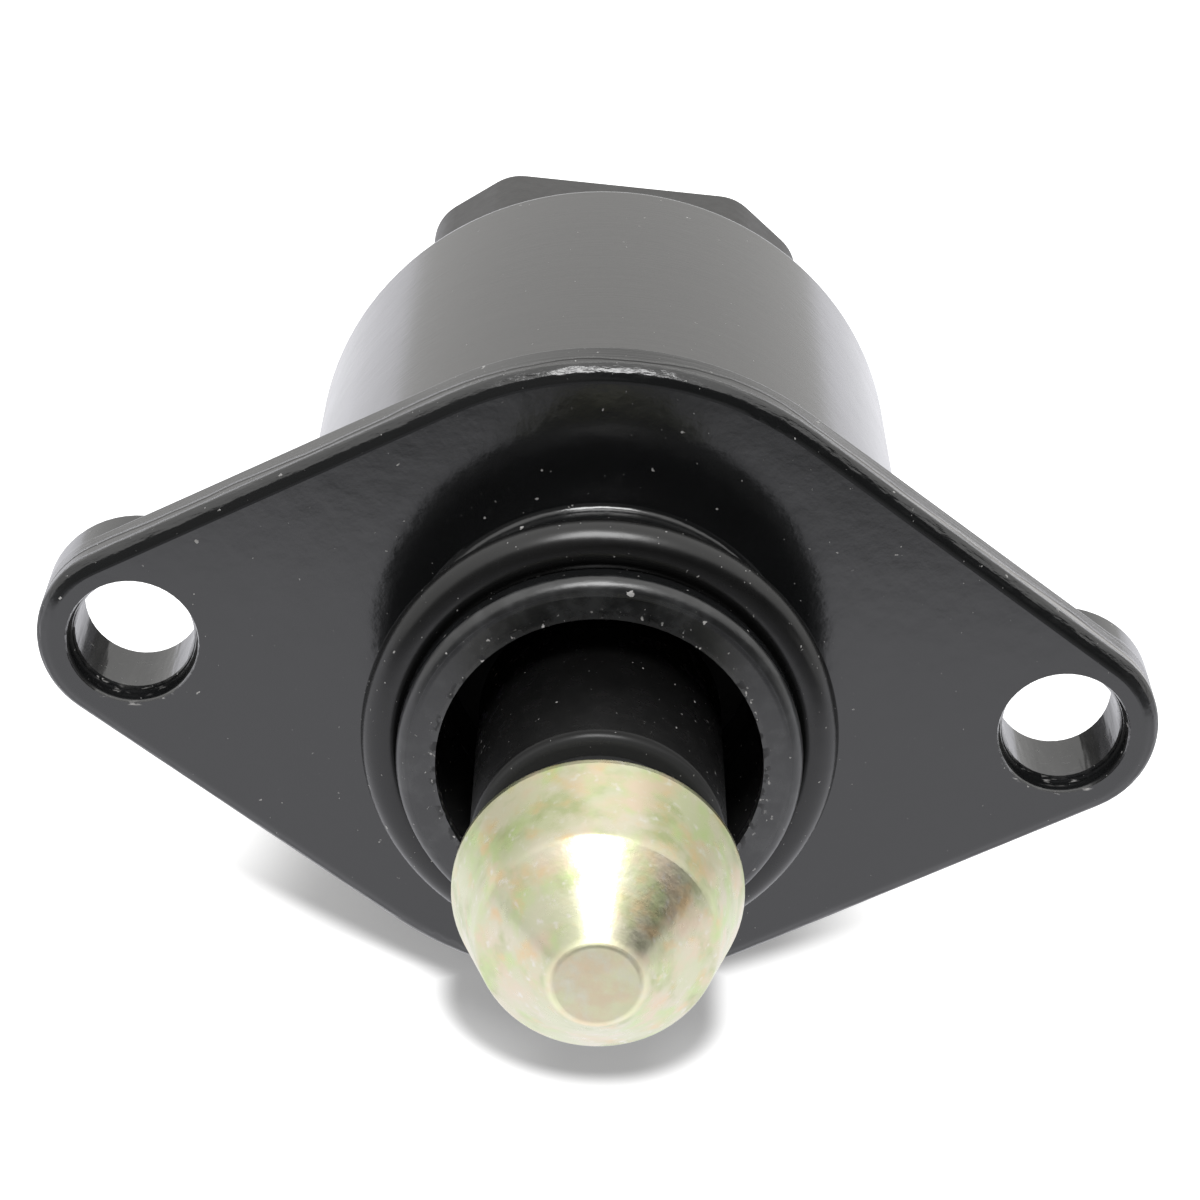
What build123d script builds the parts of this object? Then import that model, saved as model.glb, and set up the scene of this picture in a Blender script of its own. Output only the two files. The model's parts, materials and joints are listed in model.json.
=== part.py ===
"""Idle air control valve: a stepper motor that drives a tapered pintle in and out of an air passage.

Millimetres, +Z up. The origin is the centre of the flange's mounting face, on the valve axis.
The valve axis is Y: the pintle points along -Y and the connector along +Y. The bolt holes lie along X.
"""
from build123d import *
import os
from math import atan, degrees, hypot

# Bolt flange
bolt_spacing = 44.0
bolt_hole_dia = 5.6
bolt_mouth_dia = 6.3
bolt_mouth_depth = 1.1
flange_thickness = 2.9
flange_end_radius = 4.55
flange_margin = 0.95
flange_edge_round = 0.75
flange_rear_round = 0.3
boss_height = 1.85
boss_rear_round = 0.4

# Nose with its O-ring
nose_bore_dia = 14.8
nose_wall = 1.8
nose_length = 8.1
nose_bore_depth = 13.3
nose_edge_round = 0.7
nose_root_round = 0.4
o_ring_section = 2.4
o_ring_setback = 2.85
groove_depth = 0.7
groove_side_gap = 0.25

# Pintle, plunger sleeve and lead screw
pintle_reach = 27.1
pintle_dia = 12.4
pintle_step_dia = 10.1
pintle_tip_dia = 3.7
pintle_land = 0.55
pintle_taper_length = 4.05
pintle_cone_length = 3.5
pintle_edge_round = 0.3
pintle_step_round = 0.8
sleeve_dia = 11.2
sleeve_neck_dia = 9.2
sleeve_neck_length = 3.2
sleeve_edge_round = 0.5
sleeve_wall = 1.3
sleeve_head_length = 6.0
screw_dia = 5.0
screw_flats = 4.0
screw_tenon_dia = 4.0
screw_tenon_length = 5.0
retract_travel = 7.0
extend_travel = 1.0
stop_gap = 0.4

# Guide bush and shaft seal
guide_dia = 7.2
guide_flange_thickness = 0.8
guide_length = 1.4
seal_dia = 10.0
seal_width = 1.4

# Front ball bearing
bearing_bore_dia = 8.0
bearing_outer_dia = 16.0
bearing_width = 4.0
bearing_hub_wall = 2.0
shim_thickness = 0.5
race_wall = 1.05
race_groove_wall = 0.79
ball_count = 9
cage_rim = 0.39
cage_gap = 0.35

# Claw-pole stator
stator_bore_dia = 15.2
yoke_thickness = 0.7
tooth_count = 6
tooth_root_width = 3.6
tooth_tip_width = 2.2
tooth_gap = 0.4
phase_shift = 15.0
bobbin_length = 4.4
bobbin_wall = 0.6
coil_depth = 3.5
coil_cover_gap = 0.5

# Rotor
rotor_gap = 0.3
magnet_wall = 1.7
hub_wall = 1.2
nut_collar = 0.8
nut_body_length = 2.0
nut_front_gap = 0.3
journal_dia = 5.0
hub_end_wall = 0.9
rear_bush_dia = 7.2
rear_bush_flange_dia = 9.4
rear_bush_flange = 0.6
rear_bush_tail = 0.8

# Motor can and its rear closure
can_dia = 30.3
can_wall = 0.8
can_rear_round = 0.8
rim_wall = 1.7
end_plate_thickness = 0.9
base_thickness = 2.6
can_seal_section = 1.2
can_seal_side_gap = 0.1

# Connector
connector_width = 20.6
connector_height = 20.4
connector_corner_width = 3.9
connector_corner_drop = 3.0
connector_edge_round = 2.6
connector_mouth_round = 0.5
connector_length = 15.6
connector_shoulder_margin = 0.4
socket_wall = 1.8
socket_depth = 13.5
socket_edge_round = 0.8
wiring_recess_dia = 20.0
wiring_recess_depth = 1.2
key_rib_width = 1.6
key_rib_height = 1.0
key_rib_spacing = 6.4
latch_width = 5.0
latch_height = 1.5
latch_length = 3.4
latch_setback = 4.0
terminal_pitch = 7.0
terminal_width = 1.5
terminal_thickness = 0.8
terminal_setback = 3.0
terminal_tail = 0.8
terminal_point = 0.25

# Fits: still pieces in their seats, and pieces that run or slide
seat_gap = 0.02
running_gap = 0.04

# Radii that several pieces share
nose_bore_r = nose_bore_dia / 2
nose_r = nose_bore_r + nose_wall
groove_r = nose_r - groove_depth
screw_r = screw_dia / 2
can_r = can_dia / 2
can_inner_r = can_r - can_wall
inside_can_r = can_inner_r - seat_gap
bearing_r = bearing_outer_dia / 2
bearing_bore_r = bearing_bore_dia / 2
pitch_r = (bearing_bore_r + bearing_r) / 2
inner_shoulder_r = bearing_bore_r + race_wall
outer_shoulder_r = bearing_r - race_wall
race_groove_r = pitch_r - bearing_bore_r - race_groove_wall
ball_r = race_groove_r - running_gap
pocket_r = ball_r + running_gap
cage_width = 2 * (pocket_r + cage_rim)
stator_bore_r = stator_bore_dia / 2
magnet_r = stator_bore_r - rotor_gap
hub_r = magnet_r - magnet_wall
nut_body_r = hub_r - hub_wall
running_screw_r = screw_r + running_gap
bobbin_bore_r = hypot(stator_bore_r + yoke_thickness, tooth_root_width / 2) + seat_gap
coil_inner_r = bobbin_bore_r + bobbin_wall
bobbin_flange_r = coil_inner_r + coil_depth + coil_cover_gap
connector_side_corner_r = hypot(connector_width / 2, connector_height / 2 - connector_corner_drop)
connector_top_corner_r = hypot(connector_width / 2 - connector_corner_width, connector_height / 2)
shoulder_r = max(connector_side_corner_r, connector_top_corner_r) + connector_shoulder_margin

# Stations along the valve axis, from the pintle tip to the connector mouth
pintle_length = pintle_land + pintle_taper_length + pintle_cone_length
pintle_rear_y = pintle_length - pintle_reach
pintle_step_y = pintle_cone_length - pintle_reach
sleeve_shoulder_y = pintle_rear_y + sleeve_neck_length
o_ring_y = o_ring_setback - nose_length
bore_bottom_y = nose_bore_depth - nose_length
guide_front_y = bore_bottom_y - guide_flange_thickness
sleeve_rear_y = guide_front_y - stop_gap - retract_travel
seal_front_y = bore_bottom_y + guide_length
shim_front_y = seal_front_y + seal_width
bearing_front_y = shim_front_y + shim_thickness
bearing_mid_y = bearing_front_y + bearing_width / 2
stator_front_y = bearing_front_y + bearing_width
half_stack = 2 * yoke_thickness + bobbin_length
stator_mid_y = stator_front_y + half_stack
stator_rear_y = stator_mid_y + half_stack
nut_front_y = shim_front_y + nut_front_gap
hub_front_y = stator_front_y + nut_collar
nut_rear_y = hub_front_y + nut_body_length
screw_rear_y = hub_front_y + extend_travel
hub_cavity_rear_y = screw_rear_y + retract_travel + stop_gap
hub_rear_y = hub_cavity_rear_y + hub_end_wall
base_front_y = stator_rear_y + end_plate_thickness
bush_rear_y = base_front_y + rear_bush_tail
base_rear_y = base_front_y + base_thickness
can_rear_y = base_rear_y + can_wall
connector_rear_y = can_rear_y + connector_length
socket_floor_y = connector_rear_y - socket_depth

os.makedirs("parts", exist_ok=True)


def facing_rear(y):
    """The plane across the valve axis at y, with its normal towards the connector."""
    return Plane(origin=(0, y, 0), x_dir=(-1, 0, 0), z_dir=(0, 1, 0))


def radial(angle):
    """The direction out from the valve axis at an angle from +X."""
    return Vector(1, 0, 0).rotate(Axis.Y, angle)


def turned(points, mode=Mode.ADD):
    """Turn a closed outline of (radius, y) points about the valve axis."""
    with BuildSketch(Plane.XY) as section:
        with BuildLine():
            Polyline(*points, close=True)
        make_face()
    revolve(section.sketch.faces(), axis=Axis.Y, mode=mode)


def ring(inner_r, outer_r, start_y, end_y, mode=Mode.ADD):
    """Turn a ring of rectangular section, or a disc where the inner radius is 0."""
    corners = [(inner_r, start_y), (outer_r, start_y), (outer_r, end_y), (inner_r, end_y)]
    turned(corners, mode)


def round_corner(section, corner, radius):
    """Round the section's corner that lies at the given (radius, y) point."""
    fillet(section.vertices().sort_by_distance(corner)[0], radius)


def two_flat_section(radius, flats):
    """Draw a circle cut by two flats above and below the axis."""
    Circle(radius)
    Rectangle(2 * radius, flats, mode=Mode.INTERSECT)


def claw_teeth(root_y, tip_y, phase):
    """Bend a ring of tapered teeth out of a stator plate, along the rotor."""
    for index in range(tooth_count):
        outward = radial(phase + index * 360 / tooth_count)
        face = Plane(origin=outward * stator_bore_r, x_dir=(0, 1, 0), z_dir=outward)
        with BuildSketch(face) as tooth:
            with BuildLine():
                Polyline(
                    (root_y, -tooth_root_width / 2),
                    (tip_y, -tooth_tip_width / 2),
                    (tip_y, tooth_tip_width / 2),
                    (root_y, tooth_root_width / 2),
                    close=True,
                )
            make_face()
        extrude(tooth.sketch.faces(), amount=yoke_thickness)


def cut_corner_outline(inset, edge_round):
    """Draw the connector's cut-corner outline, moved in by inset on every side, and round its corners."""
    side = connector_width / 2 - inset
    top = connector_height / 2 - inset
    slant = hypot(connector_corner_width, connector_corner_drop)
    inset_width = inset * (1 - (slant - connector_corner_width) / connector_corner_drop)
    inset_drop = inset * (1 - (slant - connector_corner_drop) / connector_corner_width)
    flat = side - connector_corner_width + inset_width
    shoulder = top - connector_corner_drop + inset_drop
    Polygon(
        (flat, top),
        (side, shoulder),
        (side, -shoulder),
        (flat, -top),
        (-flat, -top),
        (-side, -shoulder),
        (-side, shoulder),
        (-flat, top),
        align=None,
    )
    fillet(vertices(), edge_round)


def save(piece, name):
    """Label a finished piece and write it out."""
    piece.part.label = name
    export_step(piece.part, f"parts/{name}.step")


# Front housing: the cast flange with its bosses, nose, bearing hub and locating rim
with BuildPart() as front_housing:
    with BuildSketch(Plane.XZ.offset(-flange_thickness)) as flange_outline:
        with GridLocations(bolt_spacing, 1, 2, 1):
            Circle(flange_end_radius)
        Circle(can_r + flange_margin)
        make_hull(flange_outline.edges())
    extrude(amount=flange_thickness)
    fillet(front_housing.faces().sort_by(Axis.Y)[0].edges(), flange_edge_round)
    fillet(front_housing.faces().sort_by(Axis.Y)[-1].edges(), flange_rear_round)
    with BuildSketch(Plane.XZ.offset(-flange_thickness - boss_height)):
        with GridLocations(bolt_spacing, 1, 2, 1):
            Circle(flange_end_radius)
    extrude(amount=flange_thickness + boss_height - flange_edge_round)
    fillet(front_housing.faces().sort_by(Axis.Y)[-2:].edges(), boss_rear_round)
    with BuildSketch(Plane.XY) as nose_section:
        with BuildLine():
            Polyline(
                (0, -nose_length),
                (nose_r, -nose_length),
                (nose_r, 0),
                (nose_r + 2 * nose_root_round, 0),
                (nose_r + 2 * nose_root_round, flange_thickness),
                (0, flange_thickness),
                close=True,
            )
        make_face()
        round_corner(nose_section, (nose_r, -nose_length), nose_edge_round)
        round_corner(nose_section, (nose_r, 0), nose_root_round)
    revolve(axis=Axis.Y)
    ring(0, bearing_r + bearing_hub_wall, 0, stator_front_y)
    ring(inside_can_r - rim_wall, inside_can_r, flange_rear_round, stator_front_y)
    groove_half_width = o_ring_section / 2 + groove_side_gap
    ring(groove_r, nose_r, o_ring_y - groove_half_width, o_ring_y + groove_half_width, Mode.SUBTRACT)
    ring(0, nose_bore_r, -nose_length, bore_bottom_y, Mode.SUBTRACT)
    ring(0, guide_dia / 2 + seat_gap, bore_bottom_y, seal_front_y, Mode.SUBTRACT)
    ring(0, seal_dia / 2 + seat_gap, seal_front_y, shim_front_y, Mode.SUBTRACT)
    ring(0, bearing_r + seat_gap, shim_front_y, stator_front_y, Mode.SUBTRACT)
    mouth_angle = 2 * degrees(atan((bolt_mouth_dia - bolt_hole_dia) / 2 / bolt_mouth_depth))
    with Locations(Plane.XZ):
        with GridLocations(bolt_spacing, 1, 2, 1):
            CounterSinkHole(bolt_hole_dia / 2, bolt_mouth_dia / 2, counter_sink_angle=mouth_angle)
save(front_housing, "front_housing")

# O-ring in the groove of the nose
with BuildPart() as nose_o_ring:
    with BuildSketch(Plane.XY):
        with Locations((groove_r + seat_gap + o_ring_section / 2, o_ring_y)):
            Circle(o_ring_section / 2)
    revolve(axis=Axis.Y)
save(nose_o_ring, "nose_o_ring")

# Guide bush at the bottom of the nose bore: its two-flat hole keeps the screw from turning
with BuildPart() as guide_bush:
    ring(0, nose_bore_r - seat_gap, guide_front_y, bore_bottom_y)
    ring(0, guide_dia / 2, bore_bottom_y, seal_front_y)
    with BuildSketch(Plane.XZ.offset(-seal_front_y)):
        two_flat_section(running_screw_r, screw_flats + 2 * running_gap)
    extrude(amount=seal_front_y - guide_front_y, mode=Mode.SUBTRACT)
save(guide_bush, "guide_bush")

# Shaft seal behind the guide bush
with BuildPart() as shaft_seal:
    ring(running_screw_r, seal_dia / 2, seal_front_y, shim_front_y)
save(shaft_seal, "shaft_seal")

# Lead screw: two-flat shaft with a round tenon for the pintle head
with BuildPart() as lead_screw:
    with BuildSketch(Plane.XZ.offset(-screw_rear_y)):
        two_flat_section(screw_r, screw_flats)
    extrude(amount=screw_rear_y - pintle_rear_y)
    ring(0, screw_tenon_dia / 2, pintle_rear_y - screw_tenon_length, pintle_rear_y)
save(lead_screw, "lead_screw")

# Plunger sleeve: a neck against the pintle head, a shoulder and a hollow skirt
with BuildPart() as plunger_sleeve:
    with BuildSketch(Plane.XY) as sleeve_section:
        with BuildLine():
            Polyline(
                (screw_r + seat_gap, pintle_rear_y),
                (sleeve_neck_dia / 2, pintle_rear_y),
                (sleeve_neck_dia / 2, sleeve_shoulder_y),
                (sleeve_dia / 2, sleeve_shoulder_y),
                (sleeve_dia / 2, sleeve_rear_y),
                (sleeve_dia / 2 - sleeve_wall, sleeve_rear_y),
                (sleeve_dia / 2 - sleeve_wall, pintle_rear_y + sleeve_head_length),
                (screw_r + seat_gap, pintle_rear_y + sleeve_head_length),
                close=True,
            )
        make_face()
        round_corner(sleeve_section, (sleeve_dia / 2, sleeve_shoulder_y), sleeve_edge_round)
    revolve(axis=Axis.Y)
save(plunger_sleeve, "plunger_sleeve")

# Pintle head: a short land, a slow taper, a steep cone and a flat tip
with BuildPart() as pintle_head:
    with BuildSketch(Plane.XY) as pintle_section:
        with BuildLine():
            Polyline(
                (0, -pintle_reach),
                (pintle_tip_dia / 2, -pintle_reach),
                (pintle_step_dia / 2, pintle_step_y),
                (pintle_dia / 2, pintle_rear_y - pintle_land),
                (pintle_dia / 2, pintle_rear_y),
                (0, pintle_rear_y),
                close=True,
            )
        make_face()
        round_corner(pintle_section, (pintle_tip_dia / 2, -pintle_reach), pintle_edge_round)
        round_corner(pintle_section, (pintle_step_dia / 2, pintle_step_y), pintle_step_round)
        round_corner(pintle_section, (pintle_dia / 2, pintle_rear_y), pintle_edge_round)
    revolve(axis=Axis.Y)
    tenon_hole_y = pintle_rear_y - screw_tenon_length - seat_gap
    ring(0, screw_tenon_dia / 2 + seat_gap, tenon_hole_y, pintle_rear_y, Mode.SUBTRACT)
save(pintle_head, "pintle_head")

# Front ball bearing with its shim
with BuildPart() as bearing_shim:
    ring(outer_shoulder_r + seat_gap, bearing_r, shim_front_y, bearing_front_y)
save(bearing_shim, "bearing_shim")

races = {
    "bearing_outer_race": (outer_shoulder_r, bearing_r),
    "bearing_inner_race": (bearing_bore_r, inner_shoulder_r),
}
for race_name, (race_inner_r, race_outer_r) in races.items():
    with BuildPart() as race:
        with BuildSketch(Plane.XY):
            with Locations(((race_inner_r + race_outer_r) / 2, bearing_mid_y)):
                Rectangle(race_outer_r - race_inner_r, bearing_width)
            with Locations((pitch_r, bearing_mid_y)):
                Circle(race_groove_r, mode=Mode.SUBTRACT)
        revolve(axis=Axis.Y)
    save(race, race_name)

bearing_centre = Vector(0, bearing_mid_y, 0)
ball_directions = [radial(index * 360 / ball_count) for index in range(ball_count)]
with BuildPart() as bearing_balls:
    with Locations(*[bearing_centre + outward * pitch_r for outward in ball_directions]):
        Sphere(ball_r)
save(bearing_balls, "bearing_balls")

with BuildPart() as bearing_cage:
    ring(
        inner_shoulder_r + cage_gap,
        outer_shoulder_r - cage_gap,
        bearing_mid_y - cage_width / 2,
        bearing_mid_y + cage_width / 2,
    )
    for outward in ball_directions:
        with BuildSketch(Plane(origin=bearing_centre, x_dir=(0, 1, 0), z_dir=outward)):
            Circle(pocket_r)
        extrude(amount=bearing_r, mode=Mode.SUBTRACT)
save(bearing_cage, "bearing_cage")

# Rotor: brass nut, moulded hub with its rear journal, and ring magnet
with BuildPart() as rotor_nut:
    ring(running_screw_r, bearing_bore_r - seat_gap, nut_front_y, stator_front_y)
    ring(running_screw_r, inner_shoulder_r, stator_front_y, hub_front_y)
    ring(running_screw_r, nut_body_r, hub_front_y, nut_rear_y)
save(rotor_nut, "rotor_nut")

with BuildPart() as rotor_hub:
    ring(0, hub_r, hub_front_y, hub_rear_y)
    ring(0, journal_dia / 2, hub_rear_y, bush_rear_y)
    ring(0, nut_body_r + seat_gap, hub_front_y, nut_rear_y, Mode.SUBTRACT)
    ring(0, running_screw_r, nut_rear_y, hub_cavity_rear_y, Mode.SUBTRACT)
save(rotor_hub, "rotor_hub")

with BuildPart() as rotor_magnet:
    ring(hub_r + seat_gap, magnet_r, hub_front_y, hub_rear_y)
save(rotor_magnet, "rotor_magnet")

# Stator: each half, counted from its outer end to the middle, has a cup and a plate around a wound bobbin
for half_name, outer_y, inward, phase in (
    ("front", stator_front_y, 1, 0.0),
    ("rear", stator_rear_y, -1, phase_shift),
):
    bobbin_outer_y = outer_y + inward * yoke_thickness
    bobbin_inner_y = bobbin_outer_y + inward * bobbin_length
    with BuildPart() as stator_cup:
        ring(stator_bore_r, inside_can_r, outer_y, bobbin_outer_y)
        ring(inside_can_r - yoke_thickness, inside_can_r, outer_y, stator_mid_y)
        claw_teeth(outer_y, bobbin_inner_y - inward * tooth_gap, phase)
    save(stator_cup, f"stator_cup_{half_name}")

    with BuildPart() as stator_plate:
        ring(stator_bore_r, inside_can_r - yoke_thickness - seat_gap, bobbin_inner_y, stator_mid_y)
        claw_teeth(stator_mid_y, bobbin_outer_y + inward * tooth_gap, phase + 180 / tooth_count)
    save(stator_plate, f"stator_plate_{half_name}")

    coil_outer_y = bobbin_outer_y + inward * bobbin_wall
    coil_inner_y = bobbin_inner_y - inward * bobbin_wall
    with BuildPart() as bobbin:
        ring(bobbin_bore_r, coil_inner_r, coil_outer_y, coil_inner_y)
        ring(bobbin_bore_r, bobbin_flange_r, bobbin_outer_y, coil_outer_y)
        ring(bobbin_bore_r, bobbin_flange_r, coil_inner_y, bobbin_inner_y)
    save(bobbin, f"bobbin_{half_name}")

    with BuildPart() as coil:
        ring(coil_inner_r + seat_gap, coil_inner_r + coil_depth, coil_outer_y, coil_inner_y)
    save(coil, f"coil_{half_name}")

# Rear plate of the motor with its flanged bush
with BuildPart() as end_plate:
    ring(rear_bush_dia / 2 + seat_gap, inside_can_r, stator_rear_y, base_front_y)
save(end_plate, "end_plate")

with BuildPart() as rear_bush:
    bush_bore_r = journal_dia / 2 + running_gap
    ring(bush_bore_r, rear_bush_flange_dia / 2, stator_rear_y - rear_bush_flange, stator_rear_y)
    ring(bush_bore_r, rear_bush_dia / 2, stator_rear_y, bush_rear_y)
save(rear_bush, "rear_bush")

# Motor can, drawn as a tube whose rear edge is rolled in over the connector's base
with BuildPart() as motor_can:
    with BuildSketch(Plane.XY) as can_section:
        with BuildLine():
            Polyline(
                (can_inner_r, flange_thickness),
                (can_r, flange_thickness),
                (can_r, can_rear_y),
                (shoulder_r + seat_gap, can_rear_y),
                (shoulder_r + seat_gap, base_rear_y),
                (can_inner_r, base_rear_y),
                close=True,
            )
        make_face()
        round_corner(can_section, (can_r, can_rear_y), can_rear_round)
    revolve(axis=Axis.Y)
save(motor_can, "motor_can")

# Connector block: base under the can's rolled edge, and the socket
with BuildPart() as connector_housing:
    ring(0, inside_can_r, base_front_y, base_rear_y)
    ring(0, shoulder_r, base_rear_y, can_rear_y)
    with BuildSketch(facing_rear(can_rear_y)):
        cut_corner_outline(0, connector_edge_round)
    extrude(amount=connector_length)
    fillet(connector_housing.faces().sort_by(Axis.Y)[-1].edges(), connector_mouth_round)
    with BuildSketch(facing_rear(socket_floor_y)):
        cut_corner_outline(socket_wall, socket_edge_round)
    extrude(amount=socket_depth, mode=Mode.SUBTRACT)
    with BuildSketch(facing_rear(socket_floor_y)):
        with Locations((0, connector_height / 2 - socket_wall - key_rib_height / 2)):
            with GridLocations(key_rib_spacing, 1, 2, 1):
                Rectangle(key_rib_width, key_rib_height)
    extrude(amount=socket_depth - terminal_setback)
    with BuildSketch(Plane.YZ) as latch_section:
        latch_front_y = connector_rear_y - latch_setback - latch_length
        with BuildLine():
            Polyline(
                (latch_front_y, -connector_height / 2),
                (latch_front_y, -connector_height / 2 - latch_height),
                (latch_front_y + latch_length, -connector_height / 2),
                close=True,
            )
        make_face()
    extrude(amount=latch_width / 2, both=True)
    ring(0, wiring_recess_dia / 2, base_front_y, base_front_y + wiring_recess_depth, Mode.SUBTRACT)
    seal_half_width = can_seal_section / 2 + can_seal_side_gap
    seal_y = (base_front_y + base_rear_y) / 2
    ring(
        inside_can_r - can_seal_section,
        inside_can_r,
        seal_y - seal_half_width,
        seal_y + seal_half_width,
        Mode.SUBTRACT,
    )
    with BuildSketch(facing_rear(base_front_y)):
        with GridLocations(terminal_pitch, terminal_pitch, 2, 2):
            Rectangle(terminal_width, terminal_thickness)
    extrude(amount=socket_floor_y - base_front_y, mode=Mode.SUBTRACT)
save(connector_housing, "connector_housing")

# Seal ring around the connector's base
with BuildPart() as can_seal:
    with BuildSketch(Plane.XY):
        with Locations((inside_can_r - can_seal_section / 2, seal_y)):
            Circle(can_seal_section / 2 - seat_gap)
    revolve(axis=Axis.Y)
save(can_seal, "can_seal")

# Blade terminals, in two rows of two
terminal_front_y = base_front_y + wiring_recess_depth - terminal_tail
terminal_places = GridLocations(terminal_pitch, terminal_pitch, 2, 2).locations
for number, place in enumerate(terminal_places, start=1):
    with BuildPart() as terminal:
        with BuildSketch(facing_rear(terminal_front_y)):
            with Locations(place):
                Rectangle(terminal_width, terminal_thickness)
        extrude(amount=connector_rear_y - terminal_setback - terminal_front_y)
        chamfer(terminal.faces().sort_by(Axis.Y)[-1].edges(), terminal_point)
    save(terminal, f"terminal_{number}")
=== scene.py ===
"""Looks of the idle air control valve: finishes, a white studio floor, soft light and the camera.

Metres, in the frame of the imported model: the valve axis is Y, the pintle points along -Y and +Z is up.
Finishes are drawn in millimetres, because that is the scale of their detail.
"""

import json
from math import pi, radians
from types import SimpleNamespace

import bpy
from mathutils import Matrix, Vector


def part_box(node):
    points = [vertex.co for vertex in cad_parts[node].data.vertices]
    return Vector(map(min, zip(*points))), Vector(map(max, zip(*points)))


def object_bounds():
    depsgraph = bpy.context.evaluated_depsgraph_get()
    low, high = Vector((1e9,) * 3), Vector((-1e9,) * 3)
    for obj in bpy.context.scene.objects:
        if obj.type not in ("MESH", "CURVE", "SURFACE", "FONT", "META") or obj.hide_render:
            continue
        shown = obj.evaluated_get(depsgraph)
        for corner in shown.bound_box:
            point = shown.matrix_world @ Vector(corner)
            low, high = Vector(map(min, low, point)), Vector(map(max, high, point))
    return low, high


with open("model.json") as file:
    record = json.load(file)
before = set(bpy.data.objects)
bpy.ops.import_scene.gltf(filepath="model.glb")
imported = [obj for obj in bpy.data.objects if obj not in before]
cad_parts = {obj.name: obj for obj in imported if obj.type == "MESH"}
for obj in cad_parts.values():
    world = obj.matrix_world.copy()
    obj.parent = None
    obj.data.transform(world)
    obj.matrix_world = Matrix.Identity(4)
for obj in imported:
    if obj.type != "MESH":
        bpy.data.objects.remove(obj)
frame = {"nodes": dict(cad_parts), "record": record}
cad_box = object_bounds()

MM = 0.001

# Camera, as the photograph was taken
camera_place = Vector((-7.435, -156.079, 76.568)) * MM
camera_aim = Vector((-0.497, 0.0, 4.547)) * MM
camera_roll = radians(6.734)
camera_lens = 111.15
camera_nearest = 0.01

# Lamps: a softbox over the valve and a wide soft fill
lamp_aim = Vector((0.0, 0.0, 0.0))
key_direction = Vector((-0.10, -0.34, 0.94))
key_distance = 0.50
key_size = (0.24, 0.19)
key_radiance = 9.0
fill_direction = Vector((-0.10, 0.25, 0.96))
fill_distance = 0.70
fill_size = (0.60, 0.60)
fill_radiance = 0.7

# Room: its light on the valve, and its strength in gloss from low to high up
room_level = 0.32
room_colour = (1.0, 0.995, 0.980, 1.0)
room_rises = (0.35, 0.75)
room_mirrored = (0.88, 1.10)

# Sides of the room that are dark in gloss: direction, where the dark sets in, its lower edge and its depth
no_lower_edge = (-1.1, -1.0)
dark_sides = [
    (Vector((0.60, -0.80, 0.0)), (0.61, 0.72), (0.10, 0.24), 1.0),
    (Vector((0.0, -1.0, 0.0)), (0.42, 0.62), no_lower_edge, 0.884),
]
dark_level = 0.02

# Floor, and how strongly it glows outside its shadow and in it
floor_reach = 1.2
floor_colour = (0.90, 0.90, 0.90, 1.0)
floor_glow = (0.95, 0.24)

# Zone of the floor that keeps its shadow, in millimetres; the pintle's edge is a share of its reach
flange_shadow_slope = 0.75
flange_shadow_front = -4.4
flange_shadow_middle_x = -1.2
flange_shadow_edge = (-1.0, 1.5)
flange_shadow_ends = (19.0, 11.0)
pintle_shadow_middle = (0.8, -2.0)
pintle_shadow_reach = (6.6, 6.5)
pintle_shadow_edge = (1.15, 0.88)
shadow_back = (85.0, 50.0)

# Floor in gloss: distances towards the camera and behind the valve, in millimetres, and strengths
mirrored_colour = (0.985, 0.985, 1.03, 1.0)
mirrored_fade = (40.0, 80.0)
mirrored_front = (1.08, 0.22)
mirrored_rise = (40.0, 110.0)
mirrored_behind = 1.35

# Places on the valve, in millimetres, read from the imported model
bolt_mount = next(mount for mount in frame["record"]["mounts"] if mount["name"] == "bolt_holes")
bolt_x = bolt_mount["dims"]["spacing_x_mm"] / 2
bolt_hole_r = bolt_mount["dims"]["hole_r_mm"]
nose_front_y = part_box("front_housing")[0].y / MM
flange_rear_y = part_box("motor_can")[0].y / MM
bore_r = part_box("guide_bush")[1].x / MM
pintle_tip_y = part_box("pintle_head")[0].y / MM

# Sizes of the solids, in millimetres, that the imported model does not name
flange_edge_round = 0.75
sleeve_neck_length = 3.2
sleeve_shoulder_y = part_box("plunger_sleeve")[0].y / MM + sleeve_neck_length

# Zones of the casting, in millimetres; a margin is counted from the hole, bore or face of its name
hole_wall_margin = (0.10, 0.04)
hole_rim_margin = 0.40
hole_rim_reach = 0.12
hole_root_margin = 0.10
hole_root_reach = 0.14
hole_root_share = 0.6
hole_clear_margin = (0.6, 0.9)
bore_wall_margin = (0.30, 0.10)
bore_mouth_margin = 0.05
bore_mouth_reach = 0.55
flange_wall_front_y = (0.55, 0.85)
flange_rear_margin = (-0.05, -0.35)
flange_edge_front_y = (0.03, 0.20)
flange_edge_rear_y = (0.95, 0.70)
flange_middle_reach = 9.0
nose_front_margin = (0.90, 0.60)
nose_edge_margin = (0.01, 0.05)
nose_root_y = -0.2
nose_root_reach = 0.5

# Relief and marks of the casting, in millimetres; the waves and the ridges' shares are plain numbers
dish_z = (8.0, 16.5)
dish_reach = 14.0
edge_turn_waves = 4.0
ridge_rise_x = (-8.0, 4.0)
ridge_shares = (0.35, 1.0)
seam_y = (0.6, 2.2)
seam_reach = 0.20
# Painted glints: bright streaks at the bottom of the bolt-hole mouths, given as a height band
painted_glint_z = (-2.3, -2.7)
# Painted highlight: a pale band along the flange wall towards the right, standing for a reflection of
# bright light there
painted_highlight_y = (0.5, 1.7)
painted_highlight_reach = 0.50
painted_highlight_rise_x = (5.0, 17.0)

# Gloss of the casting: roughness added on the wall, edges and nose, roughness of chips, shine of the wall
wall_dulling = 0.07
edge_dulling = 0.07
nose_dulling = 0.09
chip_roughness = 0.60
wall_specular = (0.5, 0.27)
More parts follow.
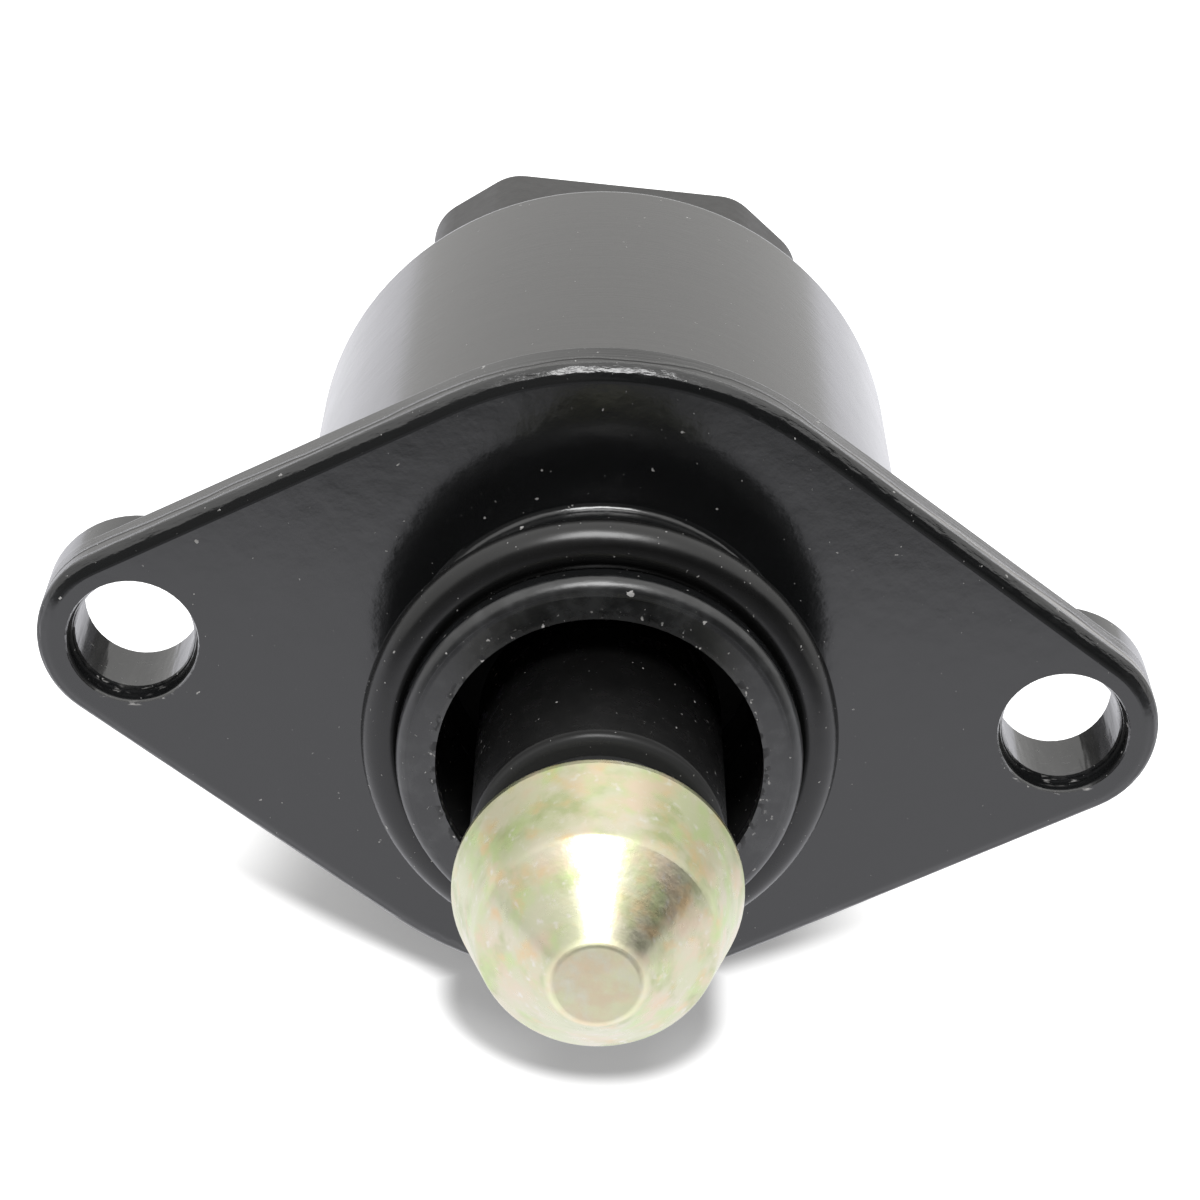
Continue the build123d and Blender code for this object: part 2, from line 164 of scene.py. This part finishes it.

# Zones of the sleeve and of the pintle head, in millimetres, and how the tip differs from the plating;
# some hold painted light and shade
painted_light_neck_margin = (0.32, 0.08)
painted_shade_x = (0.6, 2.2)
painted_shade_z = (0.0, 3.0)
painted_shade_r = (4.8, 5.4)
tip_margin = (0.45, 0.05)
tip_cover = 0.8
tip_dulling = 0.25

# Yellow plating: ground colours, tints of painted light and shade, and blotches as number per millimetre,
# stretch, spread and colour
zinc_ground = (0.63, 0.66, 0.45, 1)
zinc_blotches = [
    (0.42, (1.0, 1.0, 1.0), (0.38, 0.66), (0.69, 0.66, 0.51, 1)),
    (0.55, (1.0, 1.2, 0.9), (0.46, 0.70), (0.48, 0.53, 0.29, 1)),
    (0.62, (1.1, 0.9, 1.0), (0.48, 0.71), (0.57, 0.68, 0.35, 1)),
    (0.56, (0.9, 1.0, 1.1), (0.49, 0.72), (0.72, 0.62, 0.46, 1)),
    (0.80, (0.9, 1.0, 1.2), (0.52, 0.78), (0.74, 0.58, 0.34, 1)),
    (2.20, (1.0, 1.0, 1.0), (0.57, 0.80), (0.76, 0.75, 0.66, 1)),
]
zinc_painted_light_tint = (1.08, 1.05, 1.08, 1)
zinc_painted_shade_tint = (0.85, 0.85, 0.79, 1)
# The tip: its own pinkish plating, made paler still as painted light
tip_ground = (1.0, 1.0, 0.70, 1)
tip_blotches = [
    (0.90, (1.0, 1.0, 1.0), (0.34, 0.66), (1.0, 0.86, 0.63, 1)),
    (1.30, (1.1, 1.0, 0.9), (0.44, 0.78), (1.0, 0.98, 0.82, 1)),
]


def grey(level, warmth=0.0):
    """A grey colour, a little warmer or cooler."""
    return (level * (1 + warmth), level, level * (1 - warmth), 1.0)


def beyond(start, margins):
    """The places at those margins from a start."""
    return [start + margin for margin in margins]


# Dust: its colour and roughness, the edge of its grains in noise, and the patches of brighter ones
dust_colour = grey(0.62, 0.02)
dust_roughness = 0.85
speck_edge = 0.015
speck_patches = 0.7
speck_brightness = (0.2, 1.3)

# Sockets of the colour blending node, which has others of the same names
first_colour = 6
second_colour = 7
mixed_colour = 2


class Nodes:
    """A node tree, put together by joining outputs to inputs."""

    def __init__(self, tree):
        self.tree = tree

    def add(self, kind, inputs=None, **options):
        """Add a node, set its options and fill its inputs with numbers or with other nodes' outputs."""
        node = self.tree.nodes.new("ShaderNode" + kind)
        for name, value in options.items():
            setattr(node, name, value)
        for name, value in (inputs or {}).items():
            self.fill(node.inputs[name], value)
        return node

    def fill(self, socket, value):
        """Give a socket a number or colour, or join it to another node's output."""
        if isinstance(value, bpy.types.NodeSocket):
            self.tree.links.new(value, socket)
        else:
            socket.default_value = value

    def number(self, operation, first, second=0.0):
        """Work out one number from two."""
        return self.add("Math", {0: first, 1: second}, operation=operation).outputs["Value"]

    def joined(self, operation, numbers):
        """Work out one number from several, in their order."""
        result = numbers[0]
        for value in numbers[1:]:
            result = self.number(operation, result, value)
        return result

    def all_of(self, *shares):
        """The share of places that lie in every one of several patterns, or a part of one pattern."""
        return self.joined("MULTIPLY", shares)

    def any_of(self, *shares):
        """The largest of several shares or numbers."""
        return self.joined("MAXIMUM", shares)

    def sum_of(self, *numbers):
        """Several numbers added up."""
        return self.joined("ADD", numbers)

    def length(self, across, along):
        """Length of a line from its two sides."""
        line = self.add("CombineXYZ", {"X": across, "Y": along}).outputs["Vector"]
        return self.add("VectorMath", {0: line}, operation="LENGTH").outputs["Value"]

    def rise(self, value, low, high):
        """0 below low, 1 above high and smooth between them; low may be the larger of the two."""
        inputs = {"Value": value, "From Min": low, "From Max": high}
        return self.add("MapRange", inputs, interpolation_type="SMOOTHSTEP").outputs["Result"]

    def scaled(self, value, low, high):
        """Spread a number between 0 and 1 over the range from low to high."""
        return self.add("MapRange", {"Value": value, "To Min": low, "To Max": high}).outputs["Result"]

    def near(self, value, centre, reach):
        """1 where a number is at the centre, falling smoothly to 0 at the reach on both sides of it."""
        return self.rise(self.number("ABSOLUTE", self.number("SUBTRACT", value, centre)), reach, 0.0)

    def mixed(self, share, first, second):
        """Blend two colours."""
        node = self.add("Mix", {0: share, first_colour: first, second_colour: second}, data_type="RGBA")
        return node.outputs[mixed_colour]

    def layered(self, colour, layers):
        """A colour with others over it, each as far as its share says."""
        for share, layer in layers:
            colour = self.mixed(share, colour, layer)
        return colour

    def tinted(self, colour, tint):
        """One colour seen through another."""
        inputs = {0: 1.0, first_colour: colour, second_colour: tint}
        return self.add("Mix", inputs, data_type="RGBA", blend_type="MULTIPLY").outputs[mixed_colour]


class Finish(Nodes):
    """A procedural material, whose nodes share one set of millimetre coordinates."""

    def __init__(self, name, **surface):
        self.material = bpy.data.materials.new(name)
        self.material.use_nodes = True
        super().__init__(self.material.node_tree)
        self.shader = self.tree.nodes["Principled BSDF"]
        for socket, value in surface.items():
            self.shader.inputs[socket.replace("_", " ")].default_value = value
        place = self.add("TexCoord").outputs["Object"]
        to_mm = (1 / MM, 1 / MM, 1 / MM)
        self.mm = self.add("Mapping", {"Vector": place, "Scale": to_mm}).outputs["Vector"]
        axes = self.add("SeparateXYZ", {"Vector": self.mm}).outputs
        self.x, self.y, self.z = axes["X"], axes["Y"], axes["Z"]
        self.radius = self.length(self.x, self.z)

    def noise(self, per_mm, detail=2.0, stretch=None):
        """Cloudy noise from 0 to 1, per_mm patches in a millimetre, drawn out where stretch is small."""
        place = self.mm
        if stretch is not None:
            place = self.add("Mapping", {"Vector": self.mm, "Scale": stretch}).outputs["Vector"]
        inputs = {"Vector": place, "Scale": per_mm, "Detail": detail}
        return self.add("TexNoise", inputs).outputs["Fac"]

    def patches(self, per_mm, spread, detail=2.0, stretch=None):
        """Patches where cloudy noise rises through the spread."""
        return self.rise(self.noise(per_mm, detail, stretch), *spread)

    def varied(self, per_mm, spread, detail=2.0, stretch=None):
        """A number that varies cloudily over the spread."""
        return self.scaled(self.noise(per_mm, detail, stretch), *spread)

    def clouded(self, per_mm, dark, light, detail=2.0):
        """A colour that varies cloudily between two."""
        return self.mixed(self.noise(per_mm, detail), dark, light)

    def specks(self, per_mm, level):
        """Scattered ragged grains, brighter and duller ones; fewer and smaller with a higher level."""
        grains = self.patches(per_mm, (level, level + speck_edge), detail=4.0)
        return self.all_of(grains, self.varied(speck_patches * per_mm, speck_brightness))

    def dusted(self, dust, colour, roughness):
        """A colour and a roughness with dust on them."""
        dull = self.all_of(dust, dust_roughness)
        return self.mixed(dust, colour, dust_colour), self.any_of(roughness, dull)

    def bumped(self, height, depth, under=None):
        """The surface direction over a height pattern that is depth millimetres deep."""
        inputs = {"Height": height, "Distance": depth * MM}
        if under is not None:
            inputs["Normal"] = under
        return self.add("Bump", inputs).outputs["Normal"]

    def grained(self, per_mm, depth, detail=2.0, under=None):
        """The surface direction over cloudy noise that is depth millimetres deep."""
        return self.bumped(self.noise(per_mm, detail), depth, under)

    def finish(self, colour, roughness=None, normal=None, specular=None):
        """Join the patterns to the surface."""
        patterns = {
            "Base Color": colour,
            "Roughness": roughness,
            "Normal": normal,
            "Specular IOR Level": specular,
        }
        for socket, value in patterns.items():
            if value is not None:
                self.fill(self.shader.inputs[socket], value)
        return self.material


def housing_zones(paint):
    """Zones of the casting, each as a share from 0 to 1."""
    from_bolt_x = paint.number("SUBTRACT", paint.number("ABSOLUTE", paint.x), bolt_x)
    from_bolt = paint.length(from_bolt_x, paint.z)
    hole_rim = paint.near(from_bolt, bolt_hole_r + hole_rim_margin, hole_rim_reach)
    hole_root = paint.near(from_bolt, bolt_hole_r + hole_root_margin, hole_root_reach)
    off_holes = paint.rise(from_bolt, *beyond(bolt_hole_r, hole_clear_margin))
    wall_front = paint.rise(paint.y, *flange_wall_front_y)
    wall_rear = paint.rise(paint.y, *beyond(flange_rear_y, flange_rear_margin))
    edge_front = paint.rise(paint.y, *flange_edge_front_y)
    edge_rear = paint.rise(paint.y, *flange_edge_rear_y)
    nose_front = paint.rise(paint.y, *beyond(nose_front_y, nose_front_margin))
    behind_nose_front = paint.rise(paint.y, *beyond(nose_front_y, nose_edge_margin))
    at_bore = paint.near(paint.radius, bore_r + bore_mouth_margin, bore_mouth_reach)
    return SimpleNamespace(
        hole_wall=paint.rise(from_bolt, *beyond(bolt_hole_r, hole_wall_margin)),
        hole_mouth=paint.any_of(hole_rim, paint.all_of(hole_root, hole_root_share)),
        bore_wall=paint.rise(paint.radius, *beyond(bore_r, bore_wall_margin)),
        bore_mouth=paint.all_of(nose_front, at_bore),
        flange_wall=paint.all_of(wall_front, wall_rear, off_holes),
        flange_edge=paint.all_of(edge_front, edge_rear, off_holes),
        flange_middle=paint.near(paint.x, 0.0, flange_middle_reach),
        nose_front=nose_front,
        nose_edge=paint.all_of(nose_front, behind_nose_front),
        nose_root=paint.near(paint.y, nose_root_y, nose_root_reach),
    )


def housing_marks(paint, zone):
    """Streaks in the bolt holes, chips, scuffs and dust, plus a painted highlight band and painted glints.
    """
    streaks = paint.noise(per_mm=1.6, stretch=(1.0, 0.15, 1.0))
    painted_glint_streaks = paint.patches(per_mm=2.6, spread=(0.57, 0.70), detail=4.0, stretch=(0.45, 1.6, 1.6))
    dark_chips = paint.patches(per_mm=1.5, spread=(0.53, 0.56), detail=5.0)
    light_chips = paint.patches(per_mm=3.2, spread=(0.63, 0.67), detail=4.0)
    scuffs = paint.patches(per_mm=0.8, spread=(0.46, 0.70), detail=6.0)
    # A pale band along the right of the flange wall: a painted highlight
    painted_highlight_middle = paint.varied(per_mm=0.20, spread=painted_highlight_y, detail=3.0)
    painted_highlight_line = paint.near(paint.number("SUBTRACT", paint.y, painted_highlight_middle), 0.0, painted_highlight_reach)
    painted_highlight_patches = paint.varied(per_mm=1.2, spread=(0.2, 1.0), detail=4.0, stretch=(0.2, 1.0, 0.2))
    painted_highlight_end = paint.rise(paint.x, *painted_highlight_rise_x)
    return SimpleNamespace(
        streaks=streaks,
        bare=paint.all_of(zone.hole_wall, paint.rise(streaks, low=0.50, high=0.80)),
        dark_chips=paint.all_of(zone.bore_mouth, dark_chips),
        scuffs=paint.all_of(zone.nose_front, scuffs),
        painted_highlight=paint.all_of(painted_highlight_line, zone.flange_wall, painted_highlight_end, painted_highlight_patches),
        dust=paint.any_of(
            paint.specks(per_mm=1.9, level=0.712),
            paint.specks(per_mm=4.6, level=0.725),
            paint.all_of(zone.bore_mouth, light_chips),
            # painted glints at the bottom of the bolt-hole mouths, carried in the dust
            paint.all_of(zone.hole_mouth, paint.rise(paint.z, *painted_glint_z), painted_glint_streaks),
        ),
    )


def housing_colour(paint, zone, marks):
    """Colour of the casting under its dust: black, paler where bare or scuffed, with painted light and
    shade in places.
    """
    tone = paint.clouded(per_mm=0.35, dark=grey(0.008, -0.04), light=grey(0.012, -0.05))
    # The flange wall is painted darker in its middle: painted shade for a dark reflection there
    wall_with_painted_shade = paint.mixed(zone.flange_middle, grey(0.022, 0.03), grey(0.006))
    return paint.layered(tone, [
        (zone.flange_wall, wall_with_painted_shade),
        # painted highlight band on the right of the flange wall
        (marks.painted_highlight, grey(0.55, 0.03)),
        # painted light: the wall inside the bore is paler, lifting its shade
        (zone.bore_wall, grey(0.03)),
        (marks.bare, grey(0.04, 0.02)),
        (marks.scuffs, grey(0.035, -0.03)),
        (marks.dark_chips, grey(0.003)),
    ])


def housing_roughness(paint, zone, marks):
    """Roughness of the casting under its dust."""
    dulled = paint.sum_of(
        paint.varied(per_mm=0.6, spread=(0.125, 0.185), detail=4.0),
        paint.all_of(zone.flange_wall, wall_dulling),
        paint.all_of(paint.sum_of(zone.nose_edge, zone.flange_edge), edge_dulling),
        paint.all_of(zone.nose_front, nose_dulling),
    )
    return paint.any_of(dulled, paint.all_of(marks.dark_chips, chip_roughness))


def housing_relief(paint, zone, marks):
    """Surface direction of the casting: orange peel, lumpy edges, ridges, a parting line and streaks."""
    peel = paint.grained(per_mm=0.9, depth=0.006, detail=3.0)
    at_top = paint.all_of(paint.rise(paint.z, *dish_z), paint.near(paint.x, 0.0, dish_reach))
    dished = paint.bumped(at_top, depth=0.22, under=peel)
    fine_peel = paint.grained(per_mm=4.6, depth=0.0020, detail=4.0, under=dished)

    across_edge = paint.scaled(paint.number("DIVIDE", paint.y, flange_edge_round), 1.0, 0.0)
    edge_turn = paint.number("ARCCOSINE", across_edge)
    edge_wave = paint.number("COSINE", paint.number("MULTIPLY", edge_turn, edge_turn_waves))
    flat_edge = paint.bumped(edge_wave, depth=0.030, under=fine_peel)
    uneven = paint.noise(per_mm=2.4, detail=4.0, stretch=(0.30, 1.0, 0.30))
    flange_lumps = paint.bumped(paint.all_of(uneven, zone.flange_edge), depth=0.125, under=flat_edge)
    nose_uneven = paint.all_of(uneven, paint.sum_of(zone.nose_edge, zone.nose_root))
    nose_lumps = paint.bumped(nose_uneven, depth=0.03, under=flange_lumps)

    ridge_height = paint.noise(per_mm=5.5, detail=4.0, stretch=(0.035, 1.0, 0.035))
    ridge_share = paint.scaled(paint.rise(paint.x, *ridge_rise_x), *ridge_shares)
    ridged = paint.all_of(ridge_height, zone.flange_wall, ridge_share)
    ridges = paint.bumped(ridged, depth=0.024, under=nose_lumps)
    seam_middle = paint.varied(per_mm=0.16, spread=seam_y, detail=3.0)
    at_seam = paint.near(paint.number("SUBTRACT", paint.y, seam_middle), 0.0, seam_reach)
    seam = paint.bumped(paint.all_of(zone.flange_wall, at_seam), depth=0.05, under=ridges)
    return paint.bumped(paint.all_of(marks.streaks, zone.hole_wall), depth=0.05, under=seam)


def housing_paint():
    """Gloss black paint on the casting, with uneven edges, a parting line, chips, dust, and painted
    highlights and shade.
    """
    paint = Finish("housing_paint", IOR=1.75)
    zone = housing_zones(paint)
    marks = housing_marks(paint, zone)
    clean_colour = housing_colour(paint, zone, marks)
    clean_roughness = housing_roughness(paint, zone, marks)
    # The dust also carries the painted glints of the bolt-hole mouths
    colour, roughness = paint.dusted(marks.dust, clean_colour, clean_roughness)
    normal = housing_relief(paint, zone, marks)
    # Less shine in the middle of the wall darkens its reflection there
    specular = paint.scaled(paint.all_of(zone.flange_wall, zone.flange_middle), *wall_specular)
    return paint.finish(colour, roughness, normal, specular)


def can_paint():
    """Black paint on the drawn can, with faint lines around it from the drawing die and a little dust."""
    paint = Finish("can_paint", IOR=1.75)
    lines = paint.noise(per_mm=6.0, detail=4.0, stretch=(0.02, 1.0, 0.02))
    tone = paint.clouded(per_mm=0.25, dark=grey(0.028, 0.05), light=grey(0.038, 0.05), detail=3.0)
    colour = paint.layered(tone, [
        (paint.patches(per_mm=6.0, spread=(0.40, 0.70), detail=3.0), grey(0.046, 0.05)),
        (paint.rise(lines, low=0.35, high=0.75), grey(0.044, 0.05)),
    ])
    gloss = paint.varied(per_mm=0.5, spread=(0.12, 0.20), detail=4.0)
    dust = paint.specks(per_mm=3.2, level=0.742)
    peel = paint.grained(per_mm=1.1, depth=0.005, detail=3.0)
    normal = paint.bumped(lines, depth=0.004, under=peel)
    return paint.finish(*paint.dusted(dust, colour, gloss), normal)


def seal_rubber():
    """Satin moulded rubber with a fine grain and a little dust."""
    rubber = Finish("seal_rubber", IOR=1.58)
    colour = rubber.clouded(per_mm=0.5, dark=grey(0.004), light=grey(0.008), detail=3.0)
    satin = rubber.varied(per_mm=1.5, spread=(0.22, 0.30), detail=4.0)
    dust = rubber.any_of(rubber.specks(per_mm=2.2, level=0.715), rubber.specks(per_mm=5.0, level=0.720))
    grain = rubber.grained(per_mm=14.0, depth=0.0015, detail=3.0)
    normal = rubber.grained(per_mm=0.8, depth=0.012, under=grain)
    return rubber.finish(*rubber.dusted(dust, colour, satin), normal)


def sleeve_plastic():
    """Black moulded plastic, smooth and satin, with faint rings around it and a neck painted grey as
    painted light.
    """
    plastic = Finish("sleeve_plastic", IOR=1.32)
    tone = plastic.clouded(per_mm=0.6, dark=grey(0.004), light=grey(0.007))
    painted_light_neck = plastic.rise(plastic.y, *beyond(sleeve_shoulder_y, painted_light_neck_margin))
    # The neck is painted grey: painted light standing for light thrown off the pintle
    colour = plastic.mixed(painted_light_neck, tone, grey(0.045, -0.01))
    satin = plastic.varied(per_mm=1.2, spread=(0.20, 0.32), detail=3.0)
    dust = plastic.specks(per_mm=4.0, level=0.725)
    rings = plastic.noise(per_mm=4.0, detail=3.0, stretch=(0.03, 1.0, 0.03))
    normal = plastic.bumped(rings, depth=0.004, under=plastic.grained(per_mm=2.0, depth=0.003))
    return plastic.finish(*plastic.dusted(dust, colour, satin), normal)


def guide_plastic():
    """Dull black low-friction plastic."""
    plastic = Finish("guide_plastic", IOR=1.45)
    colour = plastic.clouded(per_mm=1.2, dark=grey(0.005), light=grey(0.008), detail=3.0)
    roughness = plastic.varied(per_mm=2.0, spread=(0.5, 0.65))
    normal = plastic.grained(per_mm=9.0, depth=0.003, detail=3.0)
    return plastic.finish(colour, roughness, normal)


def yellow_zinc():
    """Yellow chromate on turned steel: pale yellow-green, blotched with olive, green, beige and orange,
    with painted light and shade.
    """
    zinc = Finish("yellow_zinc", Metallic=1.0)

    def blotched(ground, blotches):
        """A ground colour with blotches over it."""
        return zinc.layered(ground, [
            (zinc.patches(per_mm, spread, detail=5.0, stretch=stretch), colour)
            for per_mm, stretch, spread, colour in blotches
        ])

    painted_shade_sides = zinc.all_of(
        zinc.rise(zinc.z, *painted_shade_z),
        zinc.rise(zinc.radius, *painted_shade_r),
        zinc.rise(zinc.number("ABSOLUTE", zinc.x), *painted_shade_x),
    )
    # Painted shade darkens the upper sides of the pintle, and painted light brightens the rest
    tint = zinc.mixed(painted_shade_sides, zinc_painted_light_tint, zinc_painted_shade_tint)
    plating = zinc.tinted(blotched(zinc_ground, zinc_blotches), tint)
    on_tip = zinc.rise(zinc.y, *beyond(pintle_tip_y, tip_margin))
    colour = zinc.mixed(zinc.all_of(on_tip, tip_cover), plating, blotched(tip_ground, tip_blotches))
    gloss = zinc.varied(per_mm=1.4, spread=(0.22, 0.36), detail=4.0)
    roughness = zinc.sum_of(gloss, zinc.all_of(on_tip, tip_dulling))
    rings = zinc.noise(per_mm=5.0, detail=3.0, stretch=(0.04, 1.0, 0.04))
    normal = zinc.bumped(rings, depth=0.003, under=zinc.grained(per_mm=2.6, depth=0.010, detail=5.0))
    return zinc.finish(colour, roughness, normal)


def connector_plastic():
    """Matt black glass-filled plastic with a moulded grain."""
    plastic = Finish("connector_plastic", IOR=1.5)
    colour = plastic.clouded(per_mm=0.7, dark=grey(0.038, 0.02), light=grey(0.050, 0.02), detail=4.0)
    roughness = plastic.varied(per_mm=1.8, spread=(0.40, 0.55), detail=3.0)
    normal = plastic.grained(per_mm=7.0, depth=0.008, detail=4.0)
    return plastic.finish(colour, roughness, normal)


def enamelled_wire():
    """Fine copper turns around the bobbin under a clear amber enamel."""
    wire = Finish("enamelled_wire", Metallic=1.0, Coat_Weight=0.6, Coat_Roughness=0.15)
    inputs = {"Vector": wire.mm, "Scale": 1.6, "Distortion": 0.6, "Detail": 1.0}
    turns = wire.add("TexWave", inputs, bands_direction="Y").outputs["Fac"]
    colour = wire.mixed(turns, (0.30, 0.09, 0.03, 1), (0.62, 0.24, 0.08, 1))
    roughness = wire.varied(per_mm=3.0, spread=(0.28, 0.42))
    return wire.finish(colour, roughness, wire.bumped(turns, depth=0.05))


def plain_metal(name, dark, light, roughness_spread, stretch):
    """Bare or plated metal with drawn-out grain and a slight change of tone."""
    metal = Finish(name, Metallic=1.0)
    grain = metal.noise(per_mm=6.0, detail=4.0, stretch=stretch)
    colour = metal.clouded(per_mm=0.8, dark=dark, light=light, detail=3.0)
    roughness = metal.scaled(grain, *roughness_spread)
    return metal.finish(colour, roughness, metal.bumped(grain, depth=0.002))


def plain_moulding(name, dark, light, roughness_spread, grain_depth):
    """Moulded or pressed material with a fine grain."""
    moulding = Finish(name)
    colour = moulding.clouded(per_mm=0.6, dark=dark, light=light, detail=3.0)
    roughness = moulding.varied(per_mm=2.0, spread=roughness_spread, detail=3.0)
    normal = moulding.grained(per_mm=8.0, depth=grain_depth, detail=3.0)
    return moulding.finish(colour, roughness, normal)


# Plain metals: darker and lighter tone, roughness, and the stretch of their grain
around_axis = (0.05, 1.0, 0.05)
along_axis = (1.0, 0.05, 1.0)
plain_metals = {
    "terminal_tin": (grey(0.60, 0.03), grey(0.72, 0.03), (0.22, 0.36), along_axis),
    "bright_steel": (grey(0.54, -0.01), grey(0.64, -0.01), (0.16, 0.30), around_axis),
    "brass": ((0.66, 0.46, 0.17, 1), (0.76, 0.57, 0.24, 1), (0.20, 0.34), around_axis),
    "bush_bronze": ((0.44, 0.26, 0.11, 1), (0.54, 0.35, 0.17, 1), (0.34, 0.50), around_axis),
    "stator_steel": (grey(0.48, -0.02), grey(0.58, -0.02), (0.28, 0.42), around_axis),
}

# Plain mouldings: darker and lighter tone, roughness, and depth of the grain in millimetres
plain_mouldings = {
    "hub_plastic": (grey(0.62, 0.05), grey(0.72, 0.05), (0.38, 0.50), 0.004),
    "bobbin_plastic": (grey(0.66, 0.08), grey(0.76, 0.08), (0.36, 0.48), 0.004),
    "ferrite": (grey(0.045), grey(0.070), (0.45, 0.60), 0.006),
}

# Finishes by the names of the material slots
finishes = {
    "housing_paint": housing_paint(),
    "can_paint": can_paint(),
    "seal_rubber": seal_rubber(),
    "sleeve_plastic": sleeve_plastic(),
    "guide_plastic": guide_plastic(),
    "yellow_zinc": yellow_zinc(),
    "connector_plastic": connector_plastic(),
    "enamelled_wire": enamelled_wire(),
}
for slot, looks in plain_metals.items():
    finishes[slot] = plain_metal(slot, *looks)
for slot, looks in plain_mouldings.items():
    finishes[slot] = plain_moulding(slot, *looks)


def dress_nodes():
    """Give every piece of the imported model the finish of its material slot."""
    for subpart in frame["record"]["subparts"]:
        materials = frame["nodes"][subpart["node"]].data.materials
        materials.clear()
        materials.append(finishes[subpart["material_slot"]])


def link_to_scene(name, data):
    """Put a new camera, lamp or mesh into the scene."""
    thing = bpy.data.objects.new(name, data)
    bpy.context.scene.collection.objects.link(thing)
    return thing


def facing(place, aim):
    """A placement whose -Z axis points from place to aim, with its Y axis upwards."""
    turn = (aim - place).to_track_quat("-Z", "Y").to_matrix().to_4x4()
    return Matrix.Translation(place) @ turn


def add_camera():
    """The camera of the photograph."""
    data = bpy.data.cameras.new("camera")
    data.lens = camera_lens
    data.clip_start = camera_nearest
    camera = link_to_scene("camera", data)
    camera.matrix_world = facing(camera_place, camera_aim) @ Matrix.Rotation(camera_roll, 4, "Z")
    bpy.context.scene.camera = camera


def add_softbox(name, direction, distance, size, radiance, mirrored):
    """A rectangular soft lamp of that radiance, aimed at the valve; mirrored tells if gloss shows it."""
    data = bpy.data.lights.new(name, "AREA")
    data.shape = "RECTANGLE"
    data.size, data.size_y = size
    data.energy = radiance * pi * size[0] * size[1]
    lamp = link_to_scene(name, data)
    lamp.matrix_world = facing(direction.normalized() * distance, lamp_aim)
    lamp.visible_glossy = mirrored


def floor_shadow(surface):
    """Where the floor keeps its shadow: under the flange and the pintle, ending behind the valve."""
    sideways = surface.number("ABSOLUTE", surface.number("SUBTRACT", surface.x, flange_shadow_middle_x))
    edge_line = surface.number("MULTIPLY", sideways, flange_shadow_slope)
    behind_front = surface.number("SUBTRACT", surface.y, flange_shadow_front)
    behind_line = surface.number("SUBTRACT", behind_front, edge_line)
    under_flange = surface.all_of(
        surface.rise(behind_line, *flange_shadow_edge),
        surface.rise(sideways, *flange_shadow_ends),
    )
    middle_x, middle_y = pintle_shadow_middle
    reach_x, reach_y = pintle_shadow_reach
    beside = surface.number("DIVIDE", surface.number("SUBTRACT", surface.x, middle_x), reach_x)
    before = surface.number("DIVIDE", surface.number("SUBTRACT", surface.y, middle_y), reach_y)
    outwards = surface.length(beside, surface.number("MINIMUM", before, 0.0))
    under_pintle = surface.rise(outwards, *pintle_shadow_edge)
    under_valve = surface.any_of(under_flange, under_pintle)
    return surface.all_of(under_valve, surface.rise(surface.y, *shadow_back))


def floor_in_gloss(surface):
    """Strength of the floor in gloss: it fades towards the camera and is brightest behind the valve."""
    towards_camera = surface.number("MULTIPLY", surface.y, -1.0)
    front_image = surface.scaled(surface.rise(towards_camera, *mirrored_fade), *mirrored_front)
    return surface.scaled(surface.rise(surface.y, *mirrored_rise), front_image, mirrored_behind)


def add_floor():
    """A white floor under the valve that keeps its shadow and is pure white further out."""
    low = cad_box[0][2]
    near, far = -floor_reach, floor_reach
    corners = [(near, near, low), (far, near, low), (far, far, low), (near, far, low)]
    mesh = bpy.data.meshes.new("floor")
    mesh.from_pydata(corners, [], [(0, 1, 2, 3)])
    floor = link_to_scene("floor", mesh)
    surface = Finish("floor_white", Roughness=1.0, Specular_IOR_Level=0.0)
    surface.material.cycles.emission_sampling = "NONE"
    path = surface.add("LightPath").outputs
    mirrored = path["Is Glossy Ray"]
    seen = surface.any_of(path["Is Camera Ray"], path["Is Transmission Ray"])
    glow = surface.scaled(floor_shadow(surface), *floor_glow)
    strength = surface.sum_of(
        surface.all_of(seen, glow),
        surface.all_of(mirrored, floor_in_gloss(surface)),
    )
    glow_colour = surface.mixed(mirrored, grey(1.0), mirrored_colour)
    surface.fill(surface.shader.inputs["Emission Color"], glow_colour)
    surface.fill(surface.shader.inputs["Emission Strength"], strength)
    floor.data.materials.append(surface.finish(surface.mixed(mirrored, floor_colour, grey(0.0))))


def add_room():
    """A white room: even light on the valve, white where it is seen, darker on some sides in gloss."""
    world = bpy.data.worlds.new("room")
    bpy.context.scene.world = world
    world.use_nodes = True
    world.cycles.sampling_method = "NONE"
    room = Nodes(world.node_tree)
    path = room.add("LightPath").outputs
    direction = room.add("TexCoord").outputs["Generated"]
    upwards = room.add("SeparateXYZ", {"Vector": direction}).outputs["Z"]
    dark = 0.0
    for side, spread, lower_edge, depth in dark_sides:
        towards = room.add("VectorMath", {0: direction, 1: side}, operation="DOT_PRODUCT").outputs["Value"]
        shade = room.all_of(room.rise(towards, *spread), room.rise(upwards, *lower_edge), depth)
        dark = room.any_of(dark, shade)
    plain = room.scaled(room.rise(upwards, *room_rises), *room_mirrored)
    in_gloss = room.scaled(dark, plain, dark_level)
    lit = room.scaled(path["Is Glossy Ray"], room_level, in_gloss)
    seen = room.any_of(path["Is Camera Ray"], path["Is Transmission Ray"])
    background = room.tree.nodes["Background"].inputs
    room.fill(background["Color"], room.mixed(seen, room_colour, grey(1.0)))
    room.fill(background["Strength"], room.scaled(seen, lit, 1.0))


dress_nodes()
add_camera()
add_softbox("key", key_direction, key_distance, key_size, key_radiance, mirrored=True)
add_softbox("fill", fill_direction, fill_distance, fill_size, fill_radiance, mirrored=False)
add_floor()
add_room()
bpy.context.scene.view_settings.view_transform = "Standard"
